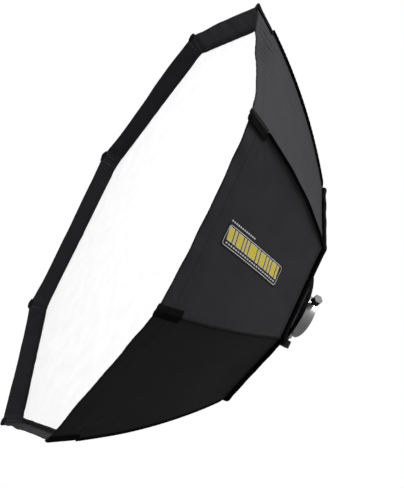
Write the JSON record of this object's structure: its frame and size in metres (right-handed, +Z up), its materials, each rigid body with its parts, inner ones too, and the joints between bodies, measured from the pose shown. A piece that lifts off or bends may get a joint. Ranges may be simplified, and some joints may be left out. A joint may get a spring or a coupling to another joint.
{
  "type": "studio softbox",
  "caption": "Octagonal fabric softbox on flexed rods and a turning speed ring, with a recessed front diffuser, an inner baffle and a clamp-on adapter for a flash head.",
  "frame": {"origin": "centre of the adapter's bore on its rear face, where the flash head's nose goes in", "axes": "+Y along the softbox's axis from its open front to the flash head, +Z up, +X towards the gore that carries the label"},
  "size_m": [1.1496, 0.533, 1.1496],
  "materials": {
    "shell_nylon": "matt black plain-weave nylon with a soft sheen outside, silver coated inside",
    "black_webbing": "woven webbing",
    "black_binding": "grosgrain tape",
    "black_facing": "matt nylon",
    "hook_tape": "hook and loop pile",
    "diffuser_white": "fine translucent white nylon",
    "baffle_white": "thin white nylon",
    "black_elastic": "ribbed elastic",
    "label_print": "woven patch with a white outline and a plain yellow pattern",
    "spring_steel": "drawn spring wire",
    "ferrule_metal": "satin",
    "ring_casting": "textured black powder coat",
    "adapter_metal": "turned, satin",
    "screw_steel": "zinc plated",
    "knob_plastic": "moulded, fine grain",
    "nylon_tip": "natural nylon"
  },
  "bodies": {
    "adapter": {"adapter": "adapter_metal"},
    "box": {"speed_ring": "ring_casting", "retaining_ring": "ring_casting", "retaining_screws": "screw_steel", "rod_1": "spring_steel", "rod_2": "spring_steel", "rod_3": "spring_steel", "rod_4": "spring_steel", "rod_5": "spring_steel", "rod_6": "spring_steel", "rod_7": "spring_steel", "rod_8": "spring_steel", "rod_ferrules": "ferrule_metal", "front_gore_1": "shell_nylon", "front_gore_2": "shell_nylon", "front_gore_3": "shell_nylon", "front_gore_4": "shell_nylon", "front_gore_5": "shell_nylon", "front_gore_6": "shell_nylon", "front_gore_7": "shell_nylon", "front_gore_8": "shell_nylon", "back_gore_1": "shell_nylon", "back_gore_2": "shell_nylon", "back_gore_3": "shell_nylon", "back_gore_4": "shell_nylon", "back_gore_5": "shell_nylon", "back_gore_6": "shell_nylon", "back_gore_7": "shell_nylon", "back_gore_8": "shell_nylon", "lip_facing": "black_facing", "hook_strip": "hook_tape", "corner_pockets": "black_webbing", "front_seam_binding": "black_binding", "rear_piping": "black_binding", "back_seam_binding": "black_binding", "neck_collar": "shell_nylon", "collar_strap": "black_webbing", "label_patch": "label_print", "baffle_cloth": "baffle_white", "baffle_tabs": "black_elastic", "baffle_loops": "black_webbing", "baffle_toggles": "knob_plastic"},
    "diffuser": {"diffuser_cloth": "diffuser_white", "diffuser_border": "black_facing", "diffuser_loop_strip": "hook_tape"},
    "clamp_1_nose": {"clamp_1_tip": "nylon_tip"},
    "clamp_1_screw": {"clamp_1_stud": "screw_steel", "clamp_1_knob": "knob_plastic"},
    "clamp_2_nose": {"clamp_2_tip": "nylon_tip"},
    "clamp_2_screw": {"clamp_2_stud": "screw_steel", "clamp_2_knob": "knob_plastic"},
    "clamp_3_nose": {"clamp_3_tip": "nylon_tip"},
    "clamp_3_screw": {"clamp_3_stud": "screw_steel", "clamp_3_knob": "knob_plastic"},
    "lock_nose": {"lock_tip": "nylon_tip"},
    "lock_screw": {"lock_stud": "screw_steel", "lock_knob": "knob_plastic"}
  },
  "joints": [
    {"name": "ring_turn", "type": "hinge", "parent": "adapter", "child": "box", "pos_m": [0, 0, 0], "axis": [0, 1, 0], "continuous": true},
    {"name": "diffuser_peel", "type": "slide", "parent": "box", "child": "diffuser", "axis": [0, -1, 0], "range_m": [0, 0.16]},
    {"name": "clamp_1_travel", "type": "slide", "parent": "adapter", "child": "clamp_1_nose", "axis": [-0.866, 0, -0.5], "range_m": [0, 0.00375]},
    {"name": "clamp_1_turn", "type": "hinge", "parent": "clamp_1_nose", "child": "clamp_1_screw", "pos_m": [0.06928, -0.018, 0.04], "axis": [-0.866, 0, -0.5], "range_deg": [0, 1080.5]},
    {"name": "clamp_2_travel", "type": "slide", "parent": "adapter", "child": "clamp_2_nose", "axis": [0, 0, 1], "range_m": [0, 0.00375]},
    {"name": "clamp_2_turn", "type": "hinge", "parent": "clamp_2_nose", "child": "clamp_2_screw", "pos_m": [0, -0.018, -0.08], "axis": [0, 0, 1], "range_deg": [0, 1080.5]},
    {"name": "clamp_3_travel", "type": "slide", "parent": "adapter", "child": "clamp_3_nose", "axis": [0.866, 0, -0.5], "range_m": [0, 0.00375]},
    {"name": "clamp_3_turn", "type": "hinge", "parent": "clamp_3_nose", "child": "clamp_3_screw", "pos_m": [-0.06928, -0.018, 0.04], "axis": [0.866, 0, -0.5], "range_deg": [0, 1080.5]},
    {"name": "lock_travel", "type": "slide", "parent": "box", "child": "lock_nose", "axis": [-0.7071, 0, -0.7071], "range_m": [0, 0.0025]},
    {"name": "lock_turn", "type": "hinge", "parent": "lock_nose", "child": "lock_screw", "pos_m": [-0.06717, -0.044, -0.06717], "axis": [-0.7071, 0, -0.7071], "range_deg": [0, 720.5]}
  ],
  "couplings": [
    {"joint": "clamp_1_turn", "follows": "clamp_1_travel", "rad_per_m": 5026.5},
    {"joint": "clamp_2_turn", "follows": "clamp_2_travel", "rad_per_m": 5026.5},
    {"joint": "clamp_3_turn", "follows": "clamp_3_travel", "rad_per_m": 5026.5},
    {"joint": "lock_turn", "follows": "lock_travel", "rad_per_m": 5026.5}
  ]
}
